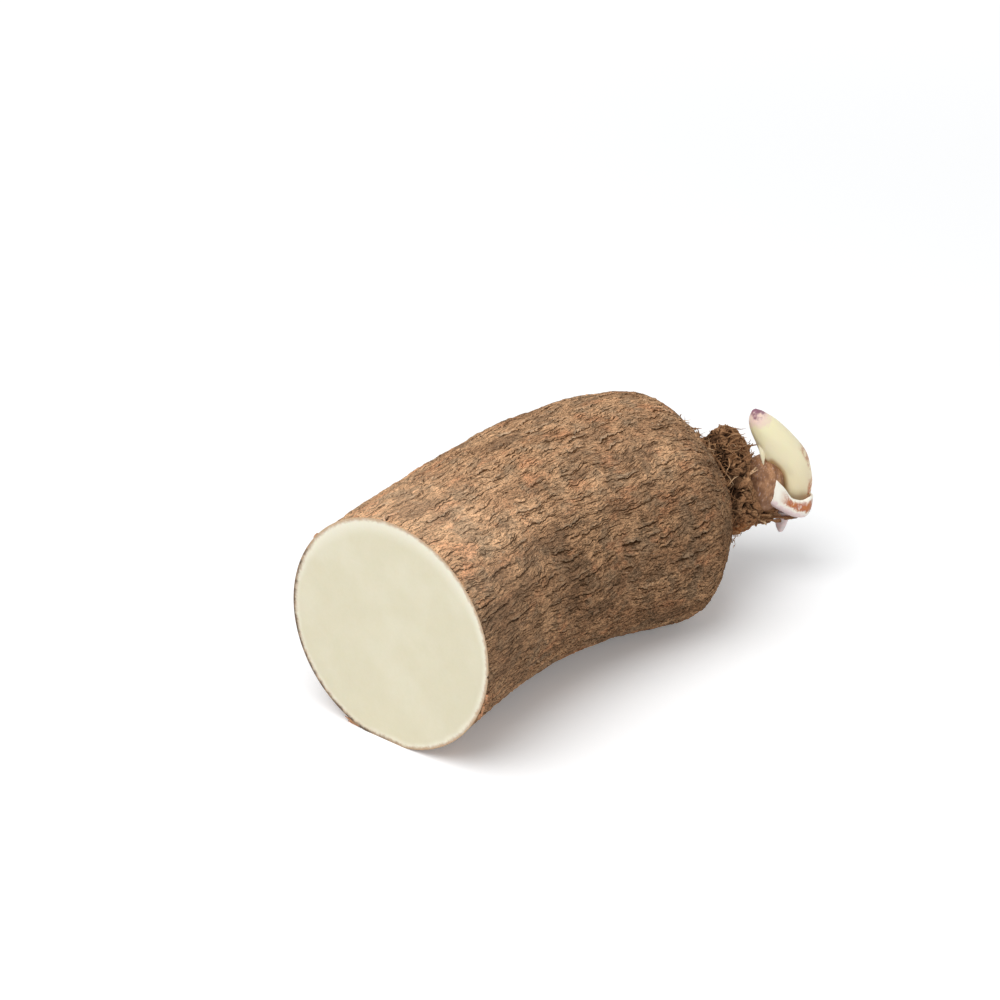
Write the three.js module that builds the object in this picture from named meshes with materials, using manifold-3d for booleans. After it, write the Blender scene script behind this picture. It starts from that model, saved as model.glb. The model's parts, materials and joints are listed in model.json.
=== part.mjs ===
// Half a white yam (Dioscorea rotundata), cut straight across and lying on its side, with the
// woody stem crown at its uncut end and one new shoot breaking from a bud on the crown.
//
// Millimetres, +Z up. The half lies along X: the cut face looks to -X, the crown points to +X and
// a little to -Y. Z = 0 is the surface that it rests on, and the origin is the middle of the
// footprint. Six pieces: tuber, stem_crown, bud, shoot, scale_leaf and root_tip.

import * as THREE from "three";
import { mergeVertices } from "three/addons/utils/BufferGeometryUtils.js";
import Module from "manifold-3d";

const wasm = await Module();
wasm.setup();

// ---------------------------------------------------------------- driving dimensions

const TUBER_LENGTH = 187; // cut face to the scar that carries the crown
const CUT_RADIUS = 52.4;
const WAIST_RADIUS = 51.3; // a little slimmer behind the cut
const BELLY_RADIUS = 54.8; // fullest at three quarters of the length
const SHOULDER_RADIUS = 39.5;
const SCAR_RADIUS = 24.5;
const SECTION_HEIGHT = 0.968; // height of a section over its width
const CUT_OVAL = 0.042; // how far the cut section is from round, leaning to the near side
const CUT_CENTRE_HEIGHT = 50.9;
const CUT_ALLOWANCE = 8; // the blank runs this far past the cut before it is trimmed
const JOINT_GAP = 0.3; // clearance between pieces that grew on each other

const BUD_RADIUS = 10.8;
const BUD_HEIGHT = 26;

const SHOOT_RADIUS = 7.9;
const SHOOT_FLAT = 0.84; // thickness of the shoot over its width
const FLAP_LENGTH = 12; // the torn edge of the shoot's sheath
const FLAP_RADIUS = 2.4;

const SCALE_RADIUS = 11.4;
const SCALE_DEPTH = 10.5;

const ROOT_LENGTH = 10;
const ROOT_RADIUS = 3;

// Faces round and along each piece.
const TUBER_FACES = [60, 38];
const CROWN_FACES = [36, 24];
const BUD_FACES = [24, 14];
const SHOOT_FACES = [20, 22];
const FLAP_FACES = [10, 6];
const SCALE_FACES = [26, 9];
const ROOT_FACES = [12, 6];

// ---------------------------------------------------------------- materials

const material = (name, color, roughness) =>
  new THREE.MeshStandardMaterial({ name, color, roughness, metalness: 0 });

const MATERIALS = {
  bark: material("bark", 0x8f6c4c, 0.85),
  crown: material("crown", 0x5f442e, 0.92),
  bud: material("bud_skin", 0x80573f, 0.6),
  shoot: material("shoot", 0xf0e4b4, 0.45),
  scale: material("scale_leaf", 0xf3e6cf, 0.5),
  root: material("root", 0xcbbcb4, 0.5),
};

// ---------------------------------------------------------------- shape helpers

const { clamp, smoothstep } = THREE.MathUtils;
const UP = new THREE.Vector3(0, 0, 1);

// A lathe that stands along Y on [distance along, radius] stations, with a flat cap at each end.
function lathe(stations, [sides, steps]) {
  const points = stations.map(([along, radius]) => new THREE.Vector2(radius, along));
  const outline = new THREE.SplineCurve(points).getPoints(steps);
  const foot = new THREE.Vector2(0, outline[0].y);
  const head = new THREE.Vector2(0, outline[steps].y);
  return new THREE.LatheGeometry([foot, ...outline, head], sides);
}

// Moves each vertex of a geometry by a function of its place.
function reshape(geometry, change) {
  const position = geometry.getAttribute("position");
  const v = new THREE.Vector3();
  for (let i = 0; i < position.count; i++) {
    change(v.fromBufferAttribute(position, i));
    position.setXYZ(i, v.x, v.y, v.z);
  }
  return geometry;
}

// Bends a standing lathe along a curve. `sides` gives the two directions that its X and Z take
// where the curve runs along a tangent. Past either end it goes straight on.
function bend(geometry, curve, sides) {
  const length = curve.getLength();
  return reshape(geometry, (v) => {
    const t = clamp(v.y / length, 0, 1);
    const tangent = curve.getTangentAt(t);
    const [wide, tall] = sides(tangent);
    const beyond = v.y - t * length;
    const place = curve.getPointAt(t).addScaledVector(tangent, beyond);
    v.copy(place.addScaledVector(wide, v.x).addScaledVector(tall, v.z));
  });
}

// ---------------------------------------------------------------- solids

function solid(geometry) {
  const bare = geometry.clone();
  bare.deleteAttribute("normal");
  bare.deleteAttribute("uv");
  const merged = mergeVertices(bare, 1e-3);
  const made = solidOf(merged);
  if (made.volume() > 0) return made;
  merged.index.array.reverse(); // turns every face round
  return solidOf(merged);
}

function solidOf(merged) {
  const vertProperties = merged.getAttribute("position").array;
  const triVerts = new Uint32Array(merged.index.array);
  return new wasm.Manifold(new wasm.Mesh({ numProp: 3, vertProperties, triVerts }));
}

function meshOf(name, made, look) {
  const { vertProperties, triVerts } = made.getMesh();
  const geometry = new THREE.BufferGeometry();
  geometry.setAttribute("position", new THREE.BufferAttribute(vertProperties, 3));
  geometry.setIndex(new THREE.BufferAttribute(triVerts, 1));
  geometry.computeVertexNormals();
  const mesh = new THREE.Mesh(geometry, look);
  mesh.name = name;
  return mesh;
}

// A block that fills everything behind `point`, against `normal`.
function behind(point, normal) {
  const size = 600;
  const block = new THREE.BoxGeometry(size, size, size);
  const turn = new THREE.Quaternion().setFromUnitVectors(UP, normal);
  block.translate(0, 0, -size / 2).applyQuaternion(turn).translate(point.x, point.y, point.z);
  return solid(block);
}

// ---------------------------------------------------------------- tuber

// The line that the tuber grew along: nearly straight from the cut, then turning to -Y and down
// towards the crown. Its control points are evenly spaced in X.
const TUBER_AXIS = new THREE.CubicBezierCurve3(
  new THREE.Vector3(0, 0, CUT_CENTRE_HEIGHT),
  new THREE.Vector3(TUBER_LENGTH / 3, 5.3, CUT_CENTRE_HEIGHT + 2.1),
  new THREE.Vector3((TUBER_LENGTH * 2) / 3, 7.2, CUT_CENTRE_HEIGHT + 4.5),
  new THREE.Vector3(TUBER_LENGTH, -27.4, CUT_CENTRE_HEIGHT - 8),
);

// Sections stand upright: one direction level and to the near side, the other straight up.
const uprightSides = (tangent) => [new THREE.Vector3().crossVectors(tangent, UP).normalize(), UP];

// Shallow swellings and flutes, as a share of the radius, at an angle round and a share along.
function swelling(angle, share) {
  const fade = 1 - smoothstep(share, 0.88, 1);
  const cutShape = CUT_OVAL * Math.cos(2 * angle - 2.2) * (1 - smoothstep(share, 0, 0.6));
  const flutes = 0.005 * Math.sin(5 * angle + 6 * share) + 0.003 * Math.sin(9 * angle - 11 * share + 1);
  const lumps = 0.006 * Math.sin(2 * angle + 13 * share + 2) * Math.sin(17 * share);
  return cutShape + fade * smoothstep(share, 0, 0.2) * (flutes + lumps);
}

function tuberBlank(grow = 0) {
  const axisLength = TUBER_AXIS.getLength();
  const stations = [
    [-CUT_ALLOWANCE, CUT_RADIUS],
    [0.14 * axisLength, 0.4 * CUT_RADIUS + 0.6 * WAIST_RADIUS],
    [0.34 * axisLength, WAIST_RADIUS],
    [0.58 * axisLength, 0.4 * WAIST_RADIUS + 0.6 * BELLY_RADIUS],
    [0.75 * axisLength, BELLY_RADIUS],
    [0.86 * axisLength, 0.955 * BELLY_RADIUS],
    [0.94 * axisLength, SHOULDER_RADIUS],
    [axisLength, SCAR_RADIUS],
  ];
  const blank = lathe(stations, TUBER_FACES);
  reshape(blank, (v) => {
    const radius = Math.hypot(v.x, v.z);
    if (radius < 1e-6) return;
    const scale = 1 + swelling(Math.atan2(v.z, v.x), clamp(v.y / axisLength, 0, 1)) + grow / radius;
    v.x *= scale;
    v.z *= scale * SECTION_HEIGHT;
    if (v.y >= axisLength) v.y += grow;
  });
  return solid(bend(blank, TUBER_AXIS, uprightSides));
}

// ---------------------------------------------------------------- places on the crown

// The crown's own directions: level along the tuber's line where it ends, level to the near side,
// and up. Places on the crown are given as [along, up, near] from the middle of the scar.
const SCAR = TUBER_AXIS.getPoint(1);
const END_TANGENT = TUBER_AXIS.getTangent(1);
const ALONG = new THREE.Vector3(END_TANGENT.x, END_TANGENT.y, 0).normalize();
const NEAR = new THREE.Vector3().crossVectors(ALONG, UP);

const onCrown = ([along, up, near]) =>
  SCAR.clone().addScaledVector(ALONG, along).addScaledVector(UP, up).addScaledVector(NEAR, near);

// For a line that runs in the plane of ALONG and UP: one side across in that plane, one to NEAR.
const crownSides = (tangent) => [new THREE.Vector3().crossVectors(tangent, NEAR).normalize(), NEAR];

// ---------------------------------------------------------------- stem crown

const CROWN_CENTRE = [7, 6, -1];
const CROWN_RADII = [18, 23, 22];
const KNOT_HEIGHT = 0.7;

// Each lobe pulls the crown out, or in, to a tip [along, up, near]; a tighter lobe is narrower.
const CROWN_LOBES = [
  { tip: [11, 33, -5], tight: 13 }, // frayed end of the old stem
  { tip: [18, 19, 9], tight: 22 }, // knob above the bud
  { tip: [31, -13.6, 4], tight: 14 }, // dry socket that the roots hang from
  { tip: [10, -3, 20], tight: 16 }, // furrow beside the bud, drawn in
  { tip: [12, 12, -25], tight: 9 },
  { tip: [9, -16, -17], tight: 12 },
];

function crownRadius(direction) {
  const [along, up, near] = CROWN_RADII;
  const ovalAt = (d) => 1 / Math.hypot(d.x / along, d.y / up, d.z / near);
  const { x, y, z } = direction;
  const knots = KNOT_HEIGHT * Math.sin(7 * x + 3) * Math.sin(8 * y + 1) * Math.sin(7 * z + 2);
  return CROWN_LOBES.reduce((radius, { tip, tight }) => {
    const reach = new THREE.Vector3(...tip).sub(new THREE.Vector3(...CROWN_CENTRE));
    const distance = reach.length();
    const aim = reach.divideScalar(distance);
    return radius + (distance - ovalAt(aim)) * Math.exp(tight * (direction.dot(aim) - 1));
  }, ovalAt(direction) + knots);
}

function crownBlank(grow = 0) {
  const ball = new THREE.SphereGeometry(1, ...CROWN_FACES);
  const centre = new THREE.Vector3(...CROWN_CENTRE);
  reshape(ball, (v) => {
    v.normalize();
    v.multiplyScalar(crownRadius(v) + grow).add(centre);
    v.copy(onCrown([v.x, v.y, v.z]));
  });
  return solid(ball);
}

// ---------------------------------------------------------------- bud

const BUD_LINE = new THREE.LineCurve3(onCrown([21.5, -6.5, 2]), onCrown([26.5, 18.5, 2.5]));

function budBlank(grow = 0) {
  const stations = [
    [-grow, 0.3 * BUD_RADIUS + grow],
    [0.12 * BUD_HEIGHT, 0.72 * BUD_RADIUS + grow],
    [0.4 * BUD_HEIGHT, BUD_RADIUS + grow],
    [0.72 * BUD_HEIGHT, 0.84 * BUD_RADIUS + grow],
    [0.94 * BUD_HEIGHT, 0.4 * BUD_RADIUS + grow],
    [BUD_HEIGHT + grow, 0.08 * BUD_RADIUS + grow],
  ];
  return solid(bend(lathe(stations, BUD_FACES), BUD_LINE, crownSides));
}

// ---------------------------------------------------------------- shoot

// The shoot's middle line, from its foot in the scale leaf to its tip.
const SHOOT_LINE = new THREE.CatmullRomCurve3(
  [
    [43.2, -5, 3],
    [42.4, 3.5, 4],
    [38.4, 14, 4.5],
    [32.3, 22.8, 4.5],
    [26.3, 30.3, 4.5],
    [21.2, 37.3, 4.5],
    [18.2, 43.4, 4.5],
  ].map(onCrown),
);

function shootBlank(grow = 0) {
  const length = SHOOT_LINE.getLength();
  const stations = [
    [-grow, 0.45 * SHOOT_RADIUS + grow],
    [0.06 * length, 0.7 * SHOOT_RADIUS + grow],
    [0.2 * length, 0.87 * SHOOT_RADIUS + grow],
    [0.42 * length, SHOOT_RADIUS + grow],
    [0.62 * length, 0.97 * SHOOT_RADIUS + grow],
    [0.8 * length, 0.78 * SHOOT_RADIUS + grow],
    [0.93 * length, 0.47 * SHOOT_RADIUS + grow],
    [length + grow, 0.12 * SHOOT_RADIUS + grow],
  ];
  const spear = reshape(lathe(stations, SHOOT_FACES), (v) => {
    v.z *= SHOOT_FLAT;
  });
  return solid(bend(spear, SHOOT_LINE, crownSides));
}

// The torn edge of the sheath hangs from the inner side of the shoot over the bud.
const FLAP_LINE = new THREE.LineCurve3(onCrown([20.5, 28.5, 5]), onCrown([22.4, 16.8, 6]));

function flapBlank(grow = 0) {
  const stations = [
    [-grow, FLAP_RADIUS + grow],
    [0.6 * FLAP_LENGTH, 0.8 * FLAP_RADIUS + grow],
    [FLAP_LENGTH + grow, 0.2 * FLAP_RADIUS + grow],
  ];
  return solid(bend(lathe(stations, FLAP_FACES), FLAP_LINE, crownSides));
}

// ---------------------------------------------------------------- scale leaf

// The torn scale leaf is a thick cup round the foot of the shoot, open towards the tip.
const SCALE_LINE = new THREE.LineCurve3(onCrown([34, -7.5, 4]), onCrown([40.3, 2.2, 4]));

function scaleBlank(grow = 0) {
  const stations = [
    [-grow, 0.7 * SCALE_RADIUS + grow],
    [0.2 * SCALE_DEPTH, 0.92 * SCALE_RADIUS + grow],
    [0.6 * SCALE_DEPTH, SCALE_RADIUS + grow],
    [SCALE_DEPTH + grow, 0.93 * SCALE_RADIUS + grow],
  ];
  return solid(bend(lathe(stations, SCALE_FACES), SCALE_LINE, crownSides));
}

// ---------------------------------------------------------------- root tip

const ROOT_LINE = new THREE.LineCurve3(onCrown([35, -9.5, 5]), onCrown([34.2, -20, 5.5]));

function rootBlank() {
  const stations = [
    [0, ROOT_RADIUS],
    [0.55 * ROOT_LENGTH, 0.95 * ROOT_RADIUS],
    [0.85 * ROOT_LENGTH, 0.75 * ROOT_RADIUS],
    [ROOT_LENGTH, 0.35 * ROOT_RADIUS],
  ];
  return solid(bend(lathe(stations, ROOT_FACES), ROOT_LINE, crownSides));
}

// ---------------------------------------------------------------- trimming to each other

const cutAway = behind(new THREE.Vector3(0, 0, 0), new THREE.Vector3(1, 0, 0));
const underside = behind(new THREE.Vector3(0, 0, 0), UP);

const tuber = tuberBlank().subtract(cutAway).subtract(underside);
const tuberRoom = tuberBlank(JOINT_GAP);
const crown = crownBlank().subtract(tuberRoom);
const crownRoom = crownBlank(JOINT_GAP);
const bud = budBlank().subtract(crownRoom);
const budRoom = budBlank(JOINT_GAP);
const shootRoom = shootBlank(JOINT_GAP).add(flapBlank(JOINT_GAP));
const shoot = shootBlank().add(flapBlank()).subtract(budRoom).subtract(crownRoom);
const scaleLeaf = scaleBlank().subtract(shootRoom).subtract(budRoom).subtract(crownRoom);
const rootTip = rootBlank().subtract(scaleBlank(JOINT_GAP)).subtract(budRoom).subtract(crownRoom);

// ---------------------------------------------------------------- assembly

const yam = new THREE.Group();
yam.add(meshOf("tuber", tuber, MATERIALS.bark));
yam.add(meshOf("stem_crown", crown, MATERIALS.crown));
yam.add(meshOf("bud", bud, MATERIALS.bud));
yam.add(meshOf("shoot", shoot, MATERIALS.shoot));
yam.add(meshOf("scale_leaf", scaleLeaf, MATERIALS.scale));
yam.add(meshOf("root_tip", rootTip, MATERIALS.root));

// The origin is the middle of the footprint.
const extent = new THREE.Box3().setFromObject(yam);
const middle = extent.getCenter(new THREE.Vector3());
yam.position.set(-middle.x, -middle.y, -extent.min.z);

export default yam;
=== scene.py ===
"""Half a white yam, cut straight across and lying on its side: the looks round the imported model.

The tuber has fissured bark and a cream cut face. Its uncut end carries a woody stem crown with a
bud, one shoot in a torn scale leaf, and a root tip. Shape formulas work in millimetres, and meshes
are written in metres.
"""

import json
import math

import bmesh
import bpy
import numpy as np
from bpy.props import FloatProperty, FloatVectorProperty, IntProperty, PointerProperty
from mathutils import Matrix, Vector


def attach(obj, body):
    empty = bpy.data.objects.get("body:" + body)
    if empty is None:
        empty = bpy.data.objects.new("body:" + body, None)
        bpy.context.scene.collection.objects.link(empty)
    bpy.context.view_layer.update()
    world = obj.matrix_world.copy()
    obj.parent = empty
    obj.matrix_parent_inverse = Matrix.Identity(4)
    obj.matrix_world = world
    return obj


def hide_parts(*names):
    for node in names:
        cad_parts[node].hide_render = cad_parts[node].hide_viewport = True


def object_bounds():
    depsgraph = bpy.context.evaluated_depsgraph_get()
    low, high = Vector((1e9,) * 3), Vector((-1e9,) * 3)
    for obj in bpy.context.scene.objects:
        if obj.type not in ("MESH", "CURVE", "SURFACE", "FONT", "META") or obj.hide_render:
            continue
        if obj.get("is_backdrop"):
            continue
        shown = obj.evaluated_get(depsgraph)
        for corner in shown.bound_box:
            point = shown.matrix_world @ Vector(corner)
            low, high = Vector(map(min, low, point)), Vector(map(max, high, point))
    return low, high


bl_info = {
    "name": "Cut yam half",
    "version": (1, 0, 0),
    "blender": (4, 5, 0),
    "location": "View3D > Sidebar > Yam",
    "description": "Models the bark, cut face, crown and shoot of a halved yam",
    "category": "Add Mesh",
}

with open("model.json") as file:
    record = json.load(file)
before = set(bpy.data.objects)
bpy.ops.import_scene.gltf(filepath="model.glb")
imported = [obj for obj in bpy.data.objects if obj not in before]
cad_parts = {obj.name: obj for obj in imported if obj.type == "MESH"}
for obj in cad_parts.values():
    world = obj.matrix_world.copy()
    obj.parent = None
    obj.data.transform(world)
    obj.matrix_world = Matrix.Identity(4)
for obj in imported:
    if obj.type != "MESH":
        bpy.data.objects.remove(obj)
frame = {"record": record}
CAD_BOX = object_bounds()

MM = 0.001
FULL_TURN = 2 * math.pi
UP = np.array((0.0, 0.0, 1.0))
CUT_CENTRE = next(m for m in frame["record"]["mounts"] if m["name"] == "cut_face")["pos_m"]
CUT_HEIGHT = CUT_CENTRE[2] / MM
TOUCHING = 1e-6  # points nearer than this to the cut, in millimetres, lie on it


# ---- settings


def number(name, description, default, **kind):
    return FloatProperty(name=name, description=description, default=default, **kind)


def size(name, description, millimetres):
    return number(name, description, millimetres * MM, unit="LENGTH", subtype="DISTANCE")


def colour(name, description, red, green, blue):
    """A colour given as it looks on a screen, 0 to 255, and kept in linear light."""
    linear = [((c / 255 + 0.055) / 1.055) ** 2.4 for c in (red, green, blue)]
    return FloatVectorProperty(name=name, description=description, default=linear, subtype="COLOR", size=3)


class YamTuberSettings(bpy.types.PropertyGroup):
    length: size("Length", "Cut face to the scar that carries the crown", 187)
    cut_radius: size("Cut radius", "Radius of the cut section", 52.4)
    waist_radius: size("Waist radius", "Radius a third of the way from the cut", 51.3)
    belly_radius: size("Belly radius", "Radius where the half is fullest", 54.8)
    shoulder_radius: size("Shoulder radius", "Radius where the shoulder turns in", 39.5)
    scar_radius: size("Scar radius", "Radius where the crown sits", 24.5)
    crack_depth: size("Crack depth", "Depth of the long cracks in the bark", 0.9)
    crack_width: size("Crack width", "Half the width of the long cracks at the surface", 0.5)
    lip_height: size("Lip height", "How far a plate of bark stands over the next one", 0.36)
    flake_height: size("Flake height", "How far the small flakes of bark stand out", 0.3)
    wrinkle_height: size("Wrinkle height", "Height of the fine wrinkles between cracks", 0.5)
    tan: colour("Tan", "Dry bark on the plates", 212, 168, 128)
    brown: colour("Brown", "Main colour of the bark", 176, 135, 101)
    # Umber is also the painted shade multiplied into the valleys between wrinkles.
    umber_and_valley_shade: colour("Umber", "Darker patches of the bark", 140, 108, 82)
    grey: colour("Grey", "Weathered patches", 156, 130, 104)
    rust: colour("Rust", "Orange-brown patches", 206, 146, 106)
    # The crack colour is painted shade, laid in the crack grooves and under the lower lip of each plate.
    crack: colour("Crack", "Bottom of the cracks", 88, 51, 16)
    # Fleck is also the painted highlight on the raised lip of each plate and the painted light near the cut.
    fleck_and_painted_light: colour("Fleck", "Pale flecks on the plates", 240, 210, 176)
    # Painted shade, multiplied into the lower side of the bark.
    shade: colour("Shade", "Painted shade that darkens the lower side", 204, 200, 196)
    flesh: colour("Flesh", "Cut face", 216, 209, 183)
    flesh_edge: colour("Flesh edge", "Ring of whiter flesh inside the skin", 232, 227, 208)
    skin: colour("Skin", "Skin as cut, seen edge on", 188, 158, 128)
    skin_dark: colour("Dark skin", "Edge of the skin on the far side", 80, 54, 30)


class YamCrownSettings(bpy.types.PropertyGroup):
    wood: colour("Wood", "Old wood of the crown", 158, 117, 84)
    # Dark wood is the crown's base colour and also the painted shade in its groove, cracks, hollows and the
    # valleys between strands.
    dark_wood_and_painted_shade: colour("Dark wood", "Wood in the hollows", 60, 40, 27)
    # Painted highlight on the raised strands of the wood.
    wood_strand_highlight: colour("Light wood", "Dry ridges", 206, 162, 120)
    wood_rust: colour("Rusty wood", "Foot of the crown beside the shoulder", 172, 110, 66)
    fibre: colour("Fibre", "Frayed fibres", 184, 140, 100)
    fibre_pale: colour("Pale fibre", "Tips of the fibres", 240, 204, 164)
    fibre_count: IntProperty(name="Fibres", description="Number of frayed fibres", default=420, min=1)


class YamShootSettings(bpy.types.PropertyGroup):
    bud_radius: size("Bud radius", "Radius of the swollen bud", 10.8)
    bud_height: size("Bud height", "Height of the swollen bud", 26)
    shoot_radius: size("Shoot radius", "Radius of the shoot where it is thickest", 7.9)
    shoot_flat: number("Shoot flatness", "Thickness over width of the shoot", 0.84, min=0, subtype="FACTOR")
    scale_radius: size("Scale leaf radius", "Radius of the cup of the scale leaf", 11.4)
    scale_depth: size("Scale leaf depth", "Depth of the cup of the scale leaf", 10.5)
    root_length: size("Root length", "Length of the root tip", 10)
    root_radius: size("Root radius", "Radius of the root tip", 3)
    bud: colour("Bud", "Skin of the bud", 186, 138, 100)
    bud_dark: colour("Dark bud", "Skin of the bud near its foot", 138, 98, 70)
    cream: colour("Cream", "Skin of the shoot", 255, 242, 204)
    green: colour("Green", "Tinge under the tip of the shoot", 253, 246, 200)
    purple: colour("Purple", "Tip of the shoot", 122, 56, 92)
    blush: colour("Blush", "Pink skin under the purple tip", 246, 214, 206)
    stain: colour("Stain", "Brown stains on the outer edge", 188, 106, 40)
    # Sheath edge is also the painted shade on the sheath's inner edge under the flap.
    sheath_edge_and_shade: colour("Sheath edge", "Dry edge of the sheath", 176, 134, 72)
    scale: colour("Scale leaf", "Scale leaf", 255, 252, 238)
    scale_pink: colour("Pink scale", "Lower edge of the scale leaf", 236, 214, 212)
    scale_rust: colour("Rusty scale", "Stained edge of the scale leaf", 172, 84, 52)
    root: colour("Root", "Root tip", 222, 210, 208)


class YamStageSettings(bpy.types.PropertyGroup):
    floor: colour("Floor", "Floor and backdrop", 249, 250, 251)
    distance: number("Distance", "Camera to the aim", 1.25, unit="LENGTH")
    azimuth: number("Azimuth", "Turn of the camera round the half", -0.90146, unit="ROTATION")
    elevation: number("Elevation", "Tilt of the camera over level", 0.48869, unit="ROTATION")
    lens: number("Lens", "Focal length on a 36 mm sensor", 100.8)
    aim: FloatVectorProperty(
        name="Aim",
        description="What the camera looks at, from the middle of the half",
        default=(0.02005, 0.05449, -0.01165),
        subtype="TRANSLATION",
        unit="LENGTH",
    )
    world_light: number("World light", "Strength of the even light", 0.5)
    key_light: number("Key light", "Power of the large soft lamp", 22, unit="POWER")


SETTINGS = {
    "yam_tuber": YamTuberSettings,
    "yam_crown": YamCrownSettings,
    "yam_shoot": YamShootSettings,
    "yam_stage": YamStageSettings,
}


# ---- lines and turned forms


def unit(vectors):
    return vectors / np.linalg.norm(vectors, axis=-1, keepdims=True)


def smoothstep(value, low, high):
    t = np.clip((value - low) / (high - low), 0, 1)
    return t * t * (3 - 2 * t)


def bell(value, middle, width):
    """A hump that is 1 at the middle and falls to 0 on either side."""
    return np.exp(-(((value - middle) / width) ** 2))


def spline(points, per_span=40):
    """Points close together on a smooth curve through the given ones."""
    p = np.asarray(points, float)
    p = np.vstack((p[:1], p, p[-1:]))
    t = np.linspace(0, 1, per_span, endpoint=False)[:, None]
    spans = []
    for a, b, c, d in zip(p, p[1:], p[2:], p[3:]):
        slope_b = (c - a) / 2
        slope_c = (d - b) / 2
        bend_2 = 3 * (c - b) - 2 * slope_b - slope_c
        bend_3 = 2 * (b - c) + slope_b + slope_c
        spans.append(b + t * slope_b + t**2 * bend_2 + t**3 * bend_3)
    return np.vstack((*spans, p[-1:]))


def bezier(controls, count=400):
    a, b, c, d = controls
    t = np.linspace(0, 1, count)[:, None]
    return (1 - t) ** 3 * a + 3 * (1 - t) ** 2 * t * b + 3 * (1 - t) * t**2 * c + t**3 * d


def arc_lengths(points):
    steps = np.linalg.norm(np.diff(points, axis=0), axis=1)
    return np.concatenate(([0], np.cumsum(steps)))


def each_column(at, known, values):
    return np.stack([np.interp(at, known, column) for column in values.T], axis=-1)


class Spine:
    """A line that forms are bent along. Past either end it goes straight on."""

    def __init__(self, points):
        self.points = np.asarray(points, float)
        self.marks = arc_lengths(self.points)
        self.length = self.marks[-1]
        self.slopes = unit(np.gradient(self.points, self.marks, axis=0))

    def at(self, along):
        inside = np.clip(along, 0, self.length)
        tangents = unit(each_column(inside, self.marks, self.slopes))
        places = each_column(inside, self.marks, self.points)
        return places + tangents * (along - inside)[..., None], tangents


def turned(stations, sides):
    """A bmesh of a closed turned form that stands along Y, from [distance along, radius] stations."""
    bm = bmesh.new()
    outline = [bm.verts.new((radius, along, 0)) for along, radius in stations]
    for a, b in zip(outline, outline[1:]):
        bm.edges.new((a, b))
    bmesh.ops.spin(
        bm,
        geom=bm.verts[:] + bm.edges[:],
        axis=(0, 1, 0),
        angle=FULL_TURN,
        steps=sides,
        use_merge=True,
    )
    bmesh.ops.remove_doubles(bm, verts=bm.verts, dist=1e-5)
    bmesh.ops.recalc_face_normals(bm, faces=bm.faces)
    return bm


def even_stations(outline, rings):
    """The outline cut into rings an even way apart, and closed on the axis at its ends."""
    marks = arc_lengths(outline)
    stations = each_column(np.linspace(0, marks[-1], rings), marks, outline)
    return [(stations[0][0], 0), *map(tuple, stations), (stations[-1][0], 0)]


def points_of(bm):
    return np.array([v.co for v in bm.verts], float)


def move_points(bm, points):
    for vert, point in zip(bm.verts, points):
        vert.co = point


def outward_normals(bm):
    """Turns the faces outward and gives the way out at each point."""
    bm.normal_update()
    bmesh.ops.recalc_face_normals(bm, faces=bm.faces)
    bm.normal_update()
    return np.array([v.normal for v in bm.verts], float)


def bent(points, spine, sides):
    """Turned points bent along a spine; sides gives the way that X and Z take round a tangent."""
    places, tangents = spine.at(points[:, 1])
    wide, tall = sides(tangents)
    return places + wide * points[:, :1] + tall * points[:, 2:3]


# ---- node wiring


def arithmetic(operation, swapped=False):
    """A method of Signal that adds a node for one operation."""

    def method(self, other):
        pair = (other, self) if swapped else (self, other)
        return self.wires.math(operation, *pair)

    return method


class Signal:
    """What a socket gives. Beside a number it works as a number, and beside a tuple as a vector."""

    __add__ = arithmetic("ADD")
    __radd__ = arithmetic("ADD", swapped=True)
    __sub__ = arithmetic("SUBTRACT")
    __rsub__ = arithmetic("SUBTRACT", swapped=True)
    __mul__ = arithmetic("MULTIPLY")
    __truediv__ = arithmetic("DIVIDE")

    def __init__(self, wires, socket):
        self.wires = wires
        self.socket = socket

    def __abs__(self):
        return self.wires.math("ABSOLUTE", self)

    def step(self, low, high, to_low=0.0, to_high=1.0):
        """Goes smoothly from to_low to to_high as the signal goes from low to high."""
        inputs = {"Value": self, "From Min": low, "From Max": high, "To Min": to_low, "To Max": to_high}
        return self.wires.add("ShaderNodeMapRange", inputs, interpolation_type="SMOOTHSTEP")


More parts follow.
